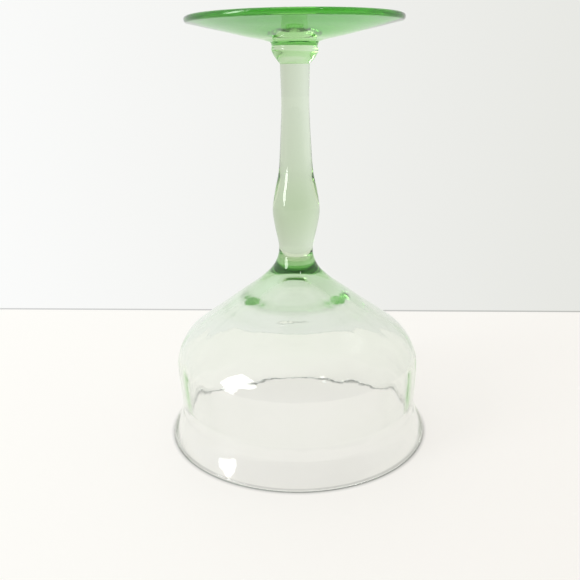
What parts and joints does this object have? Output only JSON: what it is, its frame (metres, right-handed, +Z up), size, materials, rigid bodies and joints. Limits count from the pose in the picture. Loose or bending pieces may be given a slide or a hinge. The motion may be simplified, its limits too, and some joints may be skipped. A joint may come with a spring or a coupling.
{
  "type": "stemmed dessert glass",
  "caption": "Green-tinted stemmed glass with a flared coupe bowl, knopped stem and disc foot, modelled standing upside down on its rim.",
  "frame": {"origin": "centre of the circle on which the rim rests, with the glass upside down as it stands in the picture", "axes": "+Z up along the axis of the glass, from the mouth to the foot; +X to the right and +Y away from a viewer in front. Turn the part 180 degrees about X to stand it on its foot."},
  "size_m": [0.091, 0.091, 0.14],
  "materials": {
    "bowl_glass": "fire polished, faintly green",
    "stem_glass": "fire polished, pale green",
    "foot_glass": "fire polished, green, deepest at the edge"
  },
  "bodies": {
    "root": {"bowl": "bowl_glass", "bowl_base": "stem_glass", "stem": "stem_glass", "collar": "stem_glass", "foot": "foot_glass"}
  },
  "joints": []
}
